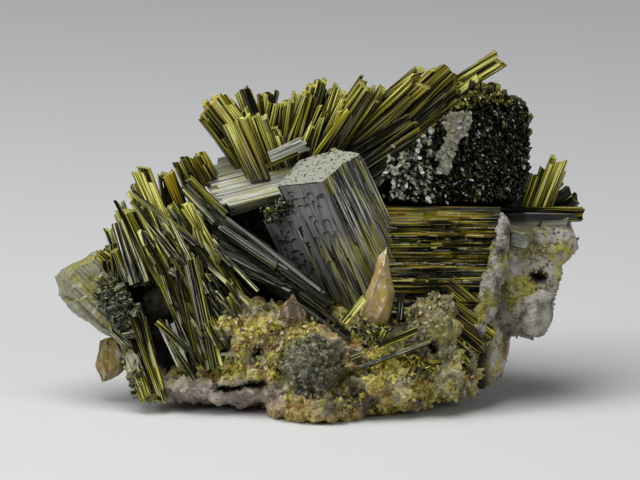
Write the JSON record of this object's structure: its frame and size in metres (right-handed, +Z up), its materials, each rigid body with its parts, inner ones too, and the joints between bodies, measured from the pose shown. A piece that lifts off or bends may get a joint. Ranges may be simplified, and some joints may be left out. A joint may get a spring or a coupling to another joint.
{
  "type": "epidote specimen",
  "caption": "Mineral specimen: fans of slender olive prismatic crystals round a thick striated central prism, on granular matrix, for display on its flat base",
  "frame": {"origin": "middle of the bounding box seen from above, on the plane that the specimen rests on", "axes": "+X runs across the specimen's width to the viewer's right, +Y runs to the back, +Z is up"},
  "size_m": [0.1003, 0.0526, 0.0643],
  "materials": {
    "epidote": "glossy striated crystal faces, dark olive with yellow-green tips",
    "granular_matrix": "rough granular crust, grey-green and yellow-green",
    "pale_wedge": "glassy pinkish tan crystal",
    "small_wedge": "glassy brown-grey crystal with orange edges",
    "honey_blade": "translucent honey brown crystal",
    "tan_blade": "translucent tan crystal"
  },
  "bodies": {
    "root": {"epidote_crystals": "epidote", "matrix": "granular_matrix", "pale_wedge_crystal": "pale_wedge", "small_wedge_crystal": "small_wedge", "honey_blade_crystal": "honey_blade", "tan_blade_crystal": "tan_blade"}
  },
  "joints": []
}
